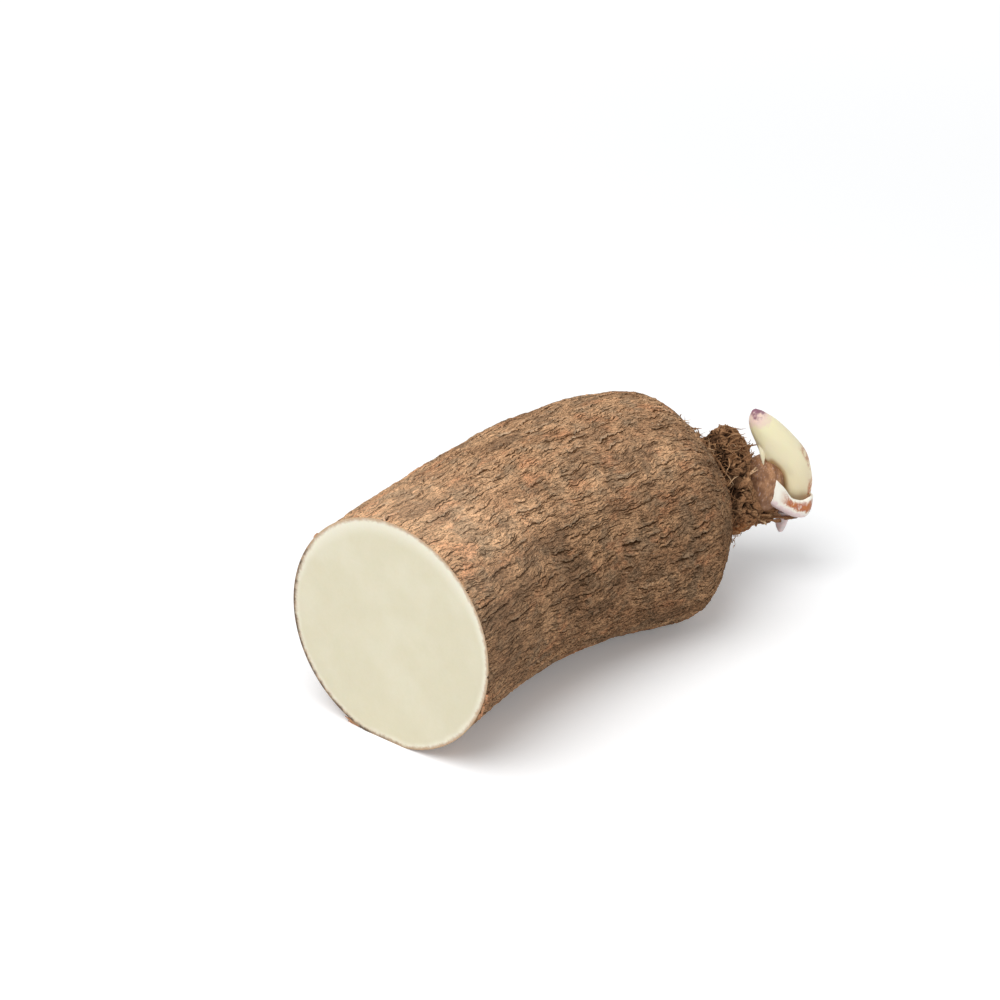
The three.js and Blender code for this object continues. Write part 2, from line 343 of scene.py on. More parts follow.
class Wires:
    """Adds nodes to a shader or geometry tree and wires them to each other."""

    def __init__(self, tree):
        self.tree = tree

    def add(self, kind, inputs=None, output=0, **settings):
        """Adds a node, feeds its inputs and gives one of its outputs."""
        node = self.tree.nodes.new(kind)
        for key, value in settings.items():
            setattr(node, key, value)
        for key, value in (inputs or {}).items():
            self.feed(node.inputs[key], value)
        return Signal(self, node.outputs[output])

    def feed(self, socket, value):
        value = getattr(value, "socket", value)
        if isinstance(value, bpy.types.NodeSocket):
            self.tree.links.new(value, socket)
        else:
            socket.default_value = value

    def math(self, operation, *values):
        over_vectors = any(isinstance(value, tuple) for value in values)
        kind = "ShaderNodeVectorMath" if over_vectors else "ShaderNodeMath"
        return self.add(kind, dict(enumerate(values)), operation=operation)

    def split(self, vector):
        node = self.add("ShaderNodeSeparateXYZ", {"Vector": vector}).socket.node
        return [Signal(self, socket) for socket in node.outputs]

    def join(self, x, y, z):
        return self.add("ShaderNodeCombineXYZ", {"X": x, "Y": y, "Z": z})

    def noise(self, vector, grain_size, detail=2, roughness=0.5):
        """Noise from 0 to 1, with lumps of about grain_size."""
        inputs = {"Vector": vector, "Scale": 1 / grain_size, "Detail": detail, "Roughness": roughness}
        return self.add("ShaderNodeTexNoise", inputs)

    def swing(self, vector, grain_size, width, **kind):
        """Noise about 0, as wide from end to end as width."""
        return (self.noise(vector, grain_size, **kind) - 0.5) * width

    def chance(self, x, y, seed):
        """Three random numbers, from 0 to 1, for a pair of whole numbers."""
        place = self.join(x, y, seed)
        return self.split(self.add("ShaderNodeTexWhiteNoise", {"Vector": place}, output="Color"))

    def mix(self, factor, a, b, blend="MIX"):
        a, b = (value if isinstance(value, Signal) else (*value, 1.0) for value in (a, b))
        inputs = {0: factor, 6: a, 7: b}
        return self.add("ShaderNodeMix", inputs, output=2, data_type="RGBA", blend_type=blend)

    def coats(self, tone, *coats):
        """Lays colours over a tone one after the other, each as far as its factor says."""
        for coat, factor in coats:
            tone = self.mix(factor, tone, coat)
        return tone

    def named(self, name, kind="FLOAT_VECTOR"):
        """The value of an attribute at each point, in either kind of tree."""
        if self.tree.bl_idname == "GeometryNodeTree":
            inputs = {"Name": name}
            return self.add("GeometryNodeInputNamedAttribute", inputs, output="Attribute", data_type=kind)
        output = "Vector" if kind == "FLOAT_VECTOR" else "Fac"
        return self.add("ShaderNodeAttribute", output=output, attribute_type="GEOMETRY", attribute_name=name)

    def place(self):
        """Where a point lies on the object, in millimetres."""
        return self.add("ShaderNodeTexCoord", output="Object") * ((1 / MM,) * 3)


SUBSURFACE_SCALE = 3 * MM  # how far light spreads under a skin


def plain_material(name, roughness, gloss):
    """A new material, with its wires and the inputs of its shader."""
    material = bpy.data.materials.new(name)
    material.use_nodes = True
    inputs = material.node_tree.nodes["Principled BSDF"].inputs
    inputs["Roughness"].default_value = roughness
    inputs["Specular IOR Level"].default_value = gloss
    return material, Wires(material.node_tree), inputs


def look(name, roughness, gloss=0.3, subsurface=0.0, spread=(1.0, 0.5, 0.25)):
    """Makes materials with a function that gives colour, height and how strongly the height shows."""

    def maker(build):
        def make(settings):
            material, w, inputs = plain_material(name, roughness, gloss)
            tone, height, strength = build(w, settings)
            relief = w.add("ShaderNodeBump", {"Strength": strength, "Distance": MM, "Height": height})
            w.feed(inputs["Base Color"], tone)
            w.feed(inputs["Normal"], relief)
            if subsurface:
                inputs["Subsurface Weight"].default_value = subsurface
                inputs["Subsurface Radius"].default_value = spread
                inputs["Subsurface Scale"].default_value = SUBSURFACE_SCALE
            return material

        return make

    return maker


# ---- pieces


def finished(name, bm, attributes, materials, slot, node=None):
    """Makes the bmesh, in millimetres from the foot of the cut, one piece of the half."""
    origin = np.array((CUT_CENTRE[0], CUT_CENTRE[1], 0))
    move_points(bm, points_of(bm) * MM + origin)
    mesh = bpy.data.meshes.new(name)
    bm.normal_update()
    bmesh.ops.recalc_face_normals(bm, faces=bm.faces)
    bm.to_mesh(mesh)
    bm.free()
    for face in mesh.polygons:
        face.use_smooth = True
    for key, values in attributes.items():
        kind, field = ("FLOAT", "value") if values.ndim == 1 else ("FLOAT_VECTOR", "vector")
        layer = mesh.attributes.new(key, kind, "POINT")
        layer.data.foreach_set(field, values.ravel().astype(np.float32))
    for material in materials:
        mesh.materials.append(material)
    piece = bpy.data.objects.new(name, mesh)
    bpy.context.scene.collection.objects.link(piece)
    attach(piece, "root")
    if node:
        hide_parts(node)
    return piece


def raise_relief(piece, build_height):
    """Moves the points of a piece along their `outward` attribute by a height made with nodes."""
    tree = bpy.data.node_groups.new(piece.name + "_relief", "GeometryNodeTree")
    for in_out in ("INPUT", "OUTPUT"):
        tree.interface.new_socket("Geometry", in_out=in_out, socket_type="NodeSocketGeometry")
    w = Wires(tree)
    height = build_height(w, w.named("grain")) * MM
    offset = w.add("ShaderNodeVectorMath", {0: w.named("outward"), "Scale": height}, operation="SCALE")
    before = w.add("NodeGroupInput")
    moved = w.add("GeometryNodeSetPosition", {"Geometry": before, "Offset": offset})
    w.feed(tree.nodes.new("NodeGroupOutput").inputs[0], moved)
    modifier = piece.modifiers.new("relief", "NODES")
    modifier.node_group = tree
    bpy.context.view_layer.objects.active = piece
    bpy.ops.object.modifier_apply(modifier=modifier.name)


# ---- bark and flesh


GRAIN_RADIUS = 52.0  # the bark's pattern is laid on a cylinder of this radius, in millimetres
FLESH_RINGS = (0.55, 1.2, 2.6, 6.0, 14.0, 28.0)  # distances in from the rim, in millimetres

# Sets of cracks: rows round the bark, length of a crack, seed, and size as a share of the largest.
CRACK_SETS = ((46, 27.0, 11.3, 1.0), (65, 17.0, 4.7, 0.84), (96, 11.0, 1.9, 0.64), (140, 7.5, 7.9, 0.5))
LARGE_CRACK = 0.8  # sets above this size are weaker beside the cut
PLATE_SIZE = 0.95  # small plates between the cracks that differ in lightness, in millimetres


def crack_rows(w, along, angle, shift, rows, length, seed):
    """Long cracks in rows round the bark.

    Gives the signed distance across to the nearest crack in millimetres, how strong the crack is
    there, and a window that is 0 half way to the next row."""
    row_width = FULL_TURN * GRAIN_RADIUS / rows
    turn = angle * (rows / FULL_TURN) + shift / row_width
    row = w.math("FLOOR", turn)
    across = turn - row - 0.5
    wrapped = w.math("WRAP", row, rows, 0)
    start = w.chance(wrapped, 0.5, seed)[0]
    run = start * 7.0 + along / length
    part = w.math("FLOOR", run)
    place = run - part
    offset, lead, tail = w.chance(wrapped, part, seed)
    distance = (across - (offset - 0.5) * 0.6) * row_width
    opening = place.step(lead * 0.4, lead * 0.4 + 0.26)
    closing = place.step(1.0, tail * -0.3 + 0.72)
    weight = w.math("FRACT", lead * 9.0).step(0.0, 0.8, 0.3, 1.0)
    return distance, opening * closing * weight, abs(across).step(0.5, 0.36)


def bark_fields(w, grain, settings, crack_width):
    """Fields of the bark: height in millimetres, cracks, lips, combed grain, wrinkles and streaks."""
    along, level, upright = w.split(grain)
    angle = w.math("ARCTAN2", upright, level)
    shared = grain * (1.0, 0.55, 0.55)
    shoulder = along.step(150, 195)
    gentle = w.swing(grain, 34, 10.0, detail=1) + (along * -0.00085 + 0.12) * along
    gentle = gentle + w.swing(shared, 8.5, shoulder * 3.5 + 2.6, detail=1)
    shift = gentle + w.swing(shared, 3.2, 2.7, detail=1) + w.swing(shared, 1.4, 0.8, detail=1)

    patchy = w.noise(grain, 17, detail=1).step(0.3, 0.56, 0.6, 1.0)
    ripe = patchy * along.step(-10, 70, 0.6, 1.0)  # the bark is finer and smoother beside the cut

    height = 0.0
    cracks = 0.0
    lips = 0.0
    for rows, length, seed, scale in CRACK_SETS:
        distance, strength, window = crack_rows(w, along, angle, shift, rows, length, seed)
        strength = strength * (ripe if scale > LARGE_CRACK else patchy)
        far = abs(distance)
        width = (strength * 0.7 + 0.3) * (crack_width * scale)
        groove = far.step(width, 0.0) * strength.step(0.06, 0.4)
        fall = w.math("EXPONENT", far * (-0.75 / scale))
        lip = distance / (far + 0.35) * fall * (strength * window)
        height = height + groove * (-settings.crack_depth / MM * scale)
        height = height + lip * (settings.lip_height / MM * scale)
        cracks = w.math("MAXIMUM", cracks, groove * (0.35 + 0.65 * scale))
        lips = lips + lip

    swung = angle + gentle / GRAIN_RADIUS
    level, upright = (w.math(wave, swung) * GRAIN_RADIUS for wave in ("COSINE", "SINE"))
    combed = w.join(along * 0.3, level, upright)
    wrinkles = w.noise(combed, 1.1, roughness=0.6)
    streaks = w.noise(combed, 0.55, detail=1, roughness=0.6)
    height = height + (wrinkles - 0.5) * (settings.wrinkle_height / MM * 2)
    height = height + w.swing(grain * (0.42, 1.0, 1.0), 9, 1.3)
    flakes = w.noise(combed * (1.6, 1.0, 1.0), 2.0, roughness=0.6).step(0.5, 0.6)
    height = height + flakes * (settings.flake_height / MM)
    return height, cracks, lips, combed, wrinkles, streaks


@look("bark", 0.9, gloss=0.0)
def bark_material(w, settings):
    grain = w.named("grain")
    width = settings.crack_width / MM
    height, cracks, lips, combed, wrinkles, streaks = bark_fields(w, grain, settings, width)
    long = grain * (0.5, 1.0, 1.0)
    patches = w.noise(long, 13, detail=3, roughness=0.6)
    weathered = w.noise(grain + (70, 0, 0), 11, detail=3, roughness=0.65)
    rusty = w.noise(long + (0, 140, 0), 7.5, detail=3, roughness=0.6)
    dusky = w.noise(long + (0, 0, 210), 13, detail=4, roughness=0.6)
    tone = w.coats(
        settings.brown,
        (settings.tan, patches.step(0.38, 0.64)),
        (settings.grey, weathered.step(0.46, 0.64, 0.0, 0.78)),
        (settings.rust, rusty.step(0.52, 0.68, 0.0, 0.62)),
        (settings.umber_and_valley_shade, dusky.step(0.48, 0.66, 0.0, 0.85)),
    )

    cells = w.add("ShaderNodeTexVoronoi", {"Vector": combed, "Scale": 1 / PLATE_SIZE}, output="Color")
    plates = w.split(cells)[0]
    crumbs = w.noise(grain * (0.8, 1.0, 1.0), 0.5, detail=1, roughness=0.6)
    bright = streaks * 2.2 + plates * 0.6 + crumbs * 2.4
    along = w.split(grain)[0]
    upright = w.split(grain)[2] / GRAIN_RADIUS
    # lit is the top of the bark: the painted light and shade below follow it.
    lit = upright.step(0.3, 1.02)
    # low_side is the lower side of the bark, where the colour stands in for the relief's light and shade.
    low_side = upright.step(0.2, -0.6)
    # Painted light: the bark near the cut is painted lighter, most of all on its lit top.
    painted_light_near_cut = along.step(80, 10) * (lit * 0.7 + 0.3)
    # Painted light and shade: the grain's colour contrast is raised on the lower side and lowered on the lit
    # top, in place of relief shading.
    contrast = low_side * 0.5 + lit * -0.2 + 1.4
    lightness = ((bright.step(1.7, 3.5) - 0.5) * contrast + 1.05) * (painted_light_near_cut * 0.36 + 1.0)
    tone = w.mix(1.0, tone, w.join(lightness, lightness, lightness), blend="MULTIPLY")
    # Painted shade: the valleys between the wrinkles are darkened.
    tone = w.mix(wrinkles.step(0.45, 0.28, 0.0, 0.35), tone, settings.umber_and_valley_shade, blend="MULTIPLY")
    flecks = w.noise(combed + (33, 0, 0), 0.7, detail=1)
    # Painted highlight on each plate's raised lip and painted shade under it, real pale flecks, and painted
    # shade in the cracks, wider on the lower side.
    tone = w.coats(
        tone,
        (settings.fleck_and_painted_light, lips.step(0.12, 0.75, 0.0, 0.5)),
        (settings.crack, lips.step(-0.2, -0.8, 0.0, 0.4)),
        (settings.fleck_and_painted_light, flecks.step(0.68, 0.78, 0.0, 0.7)),
        (settings.crack, cracks.step(0.1, low_side * -0.3 + 0.7, 0.0, 0.92)),
    )
    # Painted shade on the lower side of the bark, eased at the very bottom as painted light from the floor.
    shaded = upright.step(-0.95, -0.55, 0.35, 1.0) * (1.0 - lit)
    tone = w.mix(shaded, tone, settings.shade, blend="MULTIPLY")
    # Painted light near the cut, over a slight pale lift everywhere.
    tone = w.mix(painted_light_near_cut * 0.14 + 0.03, tone, settings.fleck_and_painted_light)
    return tone, height * 0.8 + streaks * 0.6 + crumbs * 0.6, 0.95


@look("flesh", 0.6, gloss=0.15, subsurface=0.12)
def flesh_material(w, settings):
    """The cut face: thin skin, a whiter ring, then cream flesh with faint mottling."""
    place = w.place()
    depth = w.named("rim_depth", "FLOAT")
    across, height = w.split(place)[1:]
    soft = w.noise(place, 6)
    mottle = w.noise(place, 1.3, detail=3, roughness=0.6)
    ring = ((soft - 0.5) * 3.0 + depth).step(1.0, height.step(55, 95, 4.0, 9.0))
    cloudy = w.noise(place, 22, detail=1).step(0.42, 0.7, 0.0, 0.2)
    tone = w.coats(settings.flesh_edge, (settings.flesh, ring), (settings.flesh_edge, cloudy))
    shade = (mottle + soft) * 0.05 + 0.95
    tone = w.mix(1.0, tone, w.join(shade, shade, shade * shade), blend="MULTIPLY")
    skin_depth = w.swing(place, 2.6, 2.4, detail=3, roughness=0.7) + depth
    far = across.step(-12, 22) * height.step(92, 66)
    spotted = w.noise(place, 3.5).step(0.66, 0.42, 0.45, 1.0)
    rim_tone = w.mix(far * skin_depth.step(1.9, 0.7) * spotted, settings.skin, settings.skin_dark)
    thick = far * 0.6 + 1.4
    tone = w.mix(skin_depth.step(thick * 1.2 + 0.5, 0.3, 0.0, 0.92), tone, rim_tone)
    return tone, mottle, 0.06


# ---- tuber


def swelling(angle, share_along):
    """Shallow swellings and flutes of the tuber, as a share of its radius."""
    fade = 1 - smoothstep(share_along, 0.88, 1)
    cut_oval = 0.042 * np.cos(2 * angle - 2.2) * (1 - smoothstep(share_along, 0, 0.6))
    flutes = 0.005 * np.sin(5 * angle + 6 * share_along) + 0.003 * np.sin(9 * angle - 11 * share_along + 1)
    lumps = 0.006 * np.sin(2 * angle + 13 * share_along + 2) * np.sin(17 * share_along)
    return cut_oval + fade * smoothstep(share_along, 0, 0.2) * (flutes + lumps)


def tuber_spine(settings):
    """The line that the tuber grew along, turning to -Y and down towards the crown."""
    length = settings.length / MM
    knots = ((0, 0, 0), (length / 3, 5.3, 2.1), (length * 2 / 3, 7.2, 4.5), (length, -27.4, -8))
    return Spine(bezier(np.array(knots) + UP * CUT_HEIGHT))


def tuber_outline(settings, axis_length):
    """[distance along, radius] of the tuber from the rim of the cut to the edge of the scar."""
    cut = settings.cut_radius / MM
    waist = settings.waist_radius / MM
    belly = settings.belly_radius / MM
    knots = (
        (0, cut),
        (0.14, 0.4 * cut + 0.6 * waist),
        (0.34, waist),
        (0.58, 0.4 * waist + 0.6 * belly),
        (0.75, belly),
        (0.86, 0.955 * belly),
        (0.94, settings.shoulder_radius / MM),
        (1, settings.scar_radius / MM),
    )
    return spline(np.array(knots) * (axis_length, 1))


class YAM_OT_tuber(bpy.types.Operator):
    """Model the tuber: fissured bark all round and a flat cream cut face"""

    bl_idname = "yam.tuber"
    bl_label = "Tuber"

    SIDES = 540
    RINGS = 166
    SECTION_HEIGHT = 0.968
    SLIDE_LENGTH = 34.0  # over this length the sections turn into line with the cut
    SINK = 0.6  # how far the relief is let in, so that its ridges stay inside the outline
    CRACK_SPREAD = 1.1  # width of a crack in the mesh over its width in the colours

    def execute(self, context):
        settings = context.scene.yam_tuber
        spine = tuber_spine(settings)
        outline = tuber_outline(settings, spine.length)
        stations = even_stations(outline, self.RINGS)[1:]
        rim = stations[0][1]
        face = [(0, 0), *((0, rim - inset) for inset in reversed(FLESH_RINGS))]
        bm = turned([*face, *stations], self.SIDES)
        flat = points_of(bm)
        along = flat[:, 1]
        radius = np.hypot(flat[:, 0], flat[:, 2])
        angle = np.arctan2(flat[:, 2], flat[:, 0])
        scale = 1 + swelling(angle, np.clip(along / spine.length, 0, 1))
        flat[:, [0, 2]] *= np.outer(scale, (1, self.SECTION_HEIGHT))
        move_points(bm, self.turn_to_cut(bent(flat, spine, self.upright), along, spine))

        surface = np.interp(along, outline[:, 0], arc_lengths(outline))
        grain = np.stack((surface, GRAIN_RADIUS * np.cos(angle), GRAIN_RADIUS * np.sin(angle)), axis=-1)
        on_cut = along < TOUCHING
        on_face = on_cut & (radius < rim - TOUCHING)
        on_rim = on_cut & ~on_face
        bm.verts.index_update()
        for each in bm.faces:
            each.material_index = int(all(on_cut[v.index] for v in each.verts))
        outward = outward_normals(bm)
        outward[on_rim, 0] = 0
        outward[on_rim] = unit(outward[on_rim])
        outward[on_face] = 0
        attributes = {"grain": grain, "outward": outward, "rim_depth": rim - radius}
        looks = [bark_material(settings), flesh_material(settings)]
        piece = finished("tuber_body", bm, attributes, looks, "bark", "tuber")

        width = settings.crack_width / MM * self.CRACK_SPREAD
        raise_relief(piece, lambda w, grain: bark_fields(w, grain, settings, width)[0] - self.SINK)
        self.sit_down(piece.data)
        return {"FINISHED"}

    @staticmethod
    def upright(tangents):
        wide = unit(np.cross(tangents, UP))
        return wide, np.broadcast_to(UP, wide.shape)

    def turn_to_cut(self, points, along, spine):
        """Slides the points beside the cut along the tuber until the first ring is flat."""
        places, tangents = spine.at(along)
        gap = points[:, 0] - places[:, 0]
        fade = 1 - smoothstep(along, 0, self.SLIDE_LENGTH)
        return points - tangents * (gap * fade / tangents[:, 0])[:, None]

    @staticmethod
    def sit_down(mesh):
        """Flattens what would reach below the floor, and keeps the cut face flat and skinned there."""
        count = len(mesh.vertices)
        points = np.empty(count * 3)
        mesh.vertices.foreach_get("co", points)
        points = np.maximum(points.reshape(-1, 3), (CUT_CENTRE[0], -math.inf, 0))
        mesh.vertices.foreach_set("co", points.ravel())
        depths = np.empty(count)
        layer = mesh.attributes["rim_depth"].data
        layer.foreach_get("value", depths)
        layer.foreach_set("value", np.minimum(depths, points[:, 2] / MM).astype(np.float32))
        mesh.update()


# ---- crown


def crown_frame():
    """The scar, and the directions along, up and near in which the crown is measured."""
    spine = tuber_spine(bpy.context.scene.yam_tuber)
    scar, tangent = spine.at(np.array([spine.length]))
    ahead = unit(tangent[0] * (1, 1, 0))
    return scar[0], ahead, np.cross(ahead, UP)


def on_crown(points):
    """Points given as [along, up, near] from the scar, as points of the half."""
    scar, ahead, near = crown_frame()
    p = np.asarray(points, float)
    return scar + p[..., :1] * ahead + p[..., 1:2] * UP + p[..., 2:3] * near


def crown_sides(tangents):
    near = crown_frame()[2]
    return np.cross(tangents, near), np.broadcast_to(near, tangents.shape)


CROWN_CENTRE = np.array((7.0, 6.0, -1.0))
CROWN_RADII = np.array((18.0, 23.0, 22.0))

SOCKET = (0.62, -0.50, 0.62)  # the way from the centre to the mouth of the dry socket

# Each lobe pulls the crown out, or in, to a tip [along, up, near]; a tighter lobe is narrower.
CROWN_LOBES = (
    ((11, 33, -5), 13),  # frayed end of the old stem
    ((18, 19, 9), 22),  # knob above the bud
    ((31, -13.6, 4), 26),  # dry socket that the roots hang from
    ((10, -3, 20), 16),  # furrow beside the bud
    ((12, 12, -25), 9),
    ((9, -16, -17), 12),
)

# Small dents and bosses: a direction from the centre of the crown, a height and how narrow it is.
CROWN_DENTS = (
    ((0.75, 0.35, 0.55), -8, 7),  # seat of the bud
    ((0.9, -0.1, 0.4), -5, 20),
    ((-0.32, 0.72, 0.61), -3.2, 60),  # hollow at the top of the groove
    ((-0.26, 0.29, 0.92), -3.6, 70),  # hollow half way down the groove
    ((-0.39, 0.91, -0.15), -2.6, 70),
    ((0.18, 0.87, 0.46), -2.2, 160),  # split over the knob
    ((0.25, 0.77, 0.58), 2.6, 60),  # the knob's face
    ((-0.07, 0.54, 0.84), -1.6, 120),
    (SOCKET, -7.0, 90),
    (SOCKET, 2.4, 26),  # the raised ring round its mouth
    ((0.3, -0.25, 0.92), 1.5, 50),
    ((-0.15, -0.15, 0.98), 1.2, 30),
    ((0.7, 0.2, -0.65), -3.0, 30),
    ((0.2, 0.3, -0.93), 2.0, 26),
    ((0.1, -0.8, -0.55), -2.4, 34),
)


def oval_radius(directions):
    return 1 / np.linalg.norm(directions / CROWN_RADII, axis=-1)


def hump(directions, aim, height, tight):
    return height * np.exp(tight * (directions @ aim - 1))


def crown_radius(directions):
    x, y, z = directions.T
    radius = oval_radius(directions)
    radius += 0.7 * np.sin(7 * x + 3) * np.sin(8 * y + 1) * np.sin(7 * z + 2)
    for tip, tight in CROWN_LOBES:
        reach = np.array(tip) - CROWN_CENTRE
        aim = unit(reach)
        radius += hump(directions, aim, np.linalg.norm(reach) - oval_radius(aim), tight)
    for aim, height, tight in CROWN_DENTS:
        radius += hump(directions, unit(aim), height, tight)
    return radius


def wood_fields(w, grain, fineness=1.0):
    """Height of the old wood in millimetres, its cracks, the run of its fibres and its lumps."""
    warp = w.noise(grain, 6, detail=1)
    warped = w.add(
        "ShaderNodeVectorMath", {0: grain, 1: w.join(warp * 9.0, warp, warp * -8.0)}, operation="ADD"
    )
    flaky = warped * (0.45, 0.6, 1.0)
    cracks = abs(w.noise(flaky, 3.6, detail=1) - 0.5).step(0.035 / fineness, 0.0)
    splits = abs(w.noise(flaky + (40, 0, 0), 1.7, detail=1) - 0.5).step(0.045 / fineness, 0.0)
    strands = w.noise(warped * (0.25, 0.35, 1.2), 0.9, roughness=0.65)
    lumps = w.noise(grain, 4.2, detail=3)
    height = cracks * -1.2 - 0.4 + splits * -0.45 + (strands - 0.5) * 1.7 + (lumps - 0.5) * 3.2
    return height, w.math("MAXIMUM", cracks, splits * 0.6), strands, lumps


@look("old_wood", 0.9, gloss=0.05)
def wood_material(w, settings):
    grain = w.named("grain")
    height, cracks, strands, lumps = wood_fields(w, grain, 1.3)
    along, up = w.split(grain)[:2]
    foot = up.step(2.0, -6.0) * along.step(22, 8)
    rusty = foot * w.noise(grain, 4, detail=3).step(0.35, 0.6)
    # Painted shade where the crown meets the shoulder.
    groove = along.step(6.0, 1.5) * up.step(-10.0, -2.0)
    # The crown's wood with its rust, painted highlight on the raised strands, and painted shade in the
    # groove, the valleys between strands, the cracks and the hollows.
    tone = w.coats(
        settings.dark_wood_and_painted_shade,
        (settings.wood, lumps.step(0.3, 0.5)),
        (settings.wood_rust, rusty * 0.9),
        (settings.wood_strand_highlight, strands.step(0.52, 0.7, 0.0, 0.75)),
        (settings.dark_wood_and_painted_shade, groove * 0.8),
        (settings.dark_wood_and_painted_shade, strands.step(0.44, 0.3, 0.0, 0.7)),
        (settings.dark_wood_and_painted_shade, cracks * 0.85),
        (settings.dark_wood_and_painted_shade, w.named("hollow", "FLOAT").step(0.4, 2.0, 0.0, 0.88)),
    )
    return tone, height, 0.8


class YAM_OT_crown(bpy.types.Operator):
    """Model the woody stem crown on the uncut end"""

    bl_idname = "yam.crown"
    bl_label = "Stem crown"

    SEGMENTS = 300
    RINGS = 220
    # Painted shade: dents narrower than this are darkened inside, through the hollow attribute.
    SHADED_DENT = 25  # a dent narrower than this looks dark inside

    def execute(self, context):
        settings = context.scene.yam_crown
        bm = bmesh.new()
        bmesh.ops.create_uvsphere(bm, u_segments=self.SEGMENTS, v_segments=self.RINGS, radius=1)
        directions = unit(points_of(bm))[:, [0, 2, 1]]
        local = CROWN_CENTRE + directions * crown_radius(directions)[:, None]
        move_points(bm, on_crown(local))
        # Painted shade inside the narrow dents, kept as the hollow attribute.
        dents = np.zeros(len(directions))
        for aim, height, tight in CROWN_DENTS:
            if height < 0 and tight > self.SHADED_DENT:
                dents -= hump(directions, unit(aim), height, tight)
        attributes = {"grain": local, "outward": outward_normals(bm), "hollow": dents}
        piece = finished("crown_wood", bm, attributes, [wood_material(settings)], "crown", "stem_crown")
        raise_relief(piece, lambda w, grain: wood_fields(w, grain)[0])
        return {"FINISHED"}


# ---- fibres, husks and shreds


def any_sides(tangents):
    """Two directions across each tangent, for a strand that may run any way."""
    lean = (0.31, 0.27, 0.91) if abs(tangents[0, 2]) < 0.8 else (0.9, 0.3, 0.2)
    wide = unit(np.cross(tangents, lean))
    return wide, np.cross(wide, tangents)


def strand(points, radius, flat=1.0, sides=5, rings=7, blunt=0.12):
    """A closed tapered strand along a curve through points, and the share along it of each point."""
    spine = Spine(spline(points, per_span=12))
    shares = [k / (rings - 1) for k in range(rings)]
    stations = [(t * spine.length, radius * (blunt + (1 - blunt) * (1 - t**1.6))) for t in shares]
    bm = turned([(0, 0), *stations, (spine.length, 0)], sides)
    form = points_of(bm)
    form[:, 2] *= flat
    move_points(bm, bent(form, spine, any_sides))
    return bm, form[:, 1] / spine.length


def shard(foot, ahead, across, length, width, thick, curl, rng):
    """A thin curled plate, torn at its far end, and how far along its list of points each one is."""
    bm = bmesh.new()
    bmesh.ops.create_grid(bm, x_segments=6, y_segments=9, size=1)
    side, away, _ = points_of(bm).T
    away = (away + 1) / 2
    notch = 1 + 0.22 * np.sin(side * 5 + rng.uniform(0, 6)) + 0.12 * np.sin(side * 11)
    taper = (1 - away**1.8 * 0.72) * (0.75 + 0.25 * np.sin(away * 3))
    lift = curl * (away**2 * length) + 0.28 * width * side**2 * (1 - 0.3 * away)
    run = away * length * np.where(away > 0.8, notch, 1)
    spread = np.outer(side * width * taper / 2, across)
    move_points(bm, foot + np.outer(run, ahead) + spread + np.outer(lift, np.cross(across, ahead)))
    bmesh.ops.recalc_face_normals(bm, faces=bm.faces)
    bmesh.ops.solidify(bm, geom=bm.faces[:], thickness=thick)
    return bm, np.linspace(0, 1, len(bm.verts))


def crown_surface(aim):
    """A point of the crown and the way out from it, for a direction from the crown's centre."""
    aim = unit(aim)
    return CROWN_CENTRE + aim * crown_radius(aim[None]), unit(aim / CROWN_RADII**2)


def gathered(made, rng):
    """One bmesh of several forms, each with a tint of its own; tip goes from 0 at the foot to 1."""
    whole = bmesh.new()
    carrier = bpy.data.meshes.new("carrier")
    for part, _ in made:
        part.to_mesh(carrier)
        part.free()
        whole.from_mesh(carrier)
    bpy.data.meshes.remove(carrier)
    tints = np.concatenate([np.full(len(tips), rng.random()) for _, tips in made])
    return whole, {"tint": tints, "tip": np.concatenate([tips for _, tips in made])}


@look("fibre", 0.9, gloss=0.05)
def fibre_material(w, settings):
    tint = w.named("tint", "FLOAT")
    tip = w.named("tip", "FLOAT")
    grit = w.noise(w.place(), 0.5)
    tone = w.coats(
        settings.wood,
        (settings.fibre, tint.step(0.2, 0.9)),
        (settings.fibre_pale, tint.step(0.7, 1.0) * tip.step(0.1, 0.9)),
        (settings.dark_wood_and_painted_shade, grit.step(0.5, 0.3, 0.0, 0.6)),
    )
    return tone, grit, 0.5


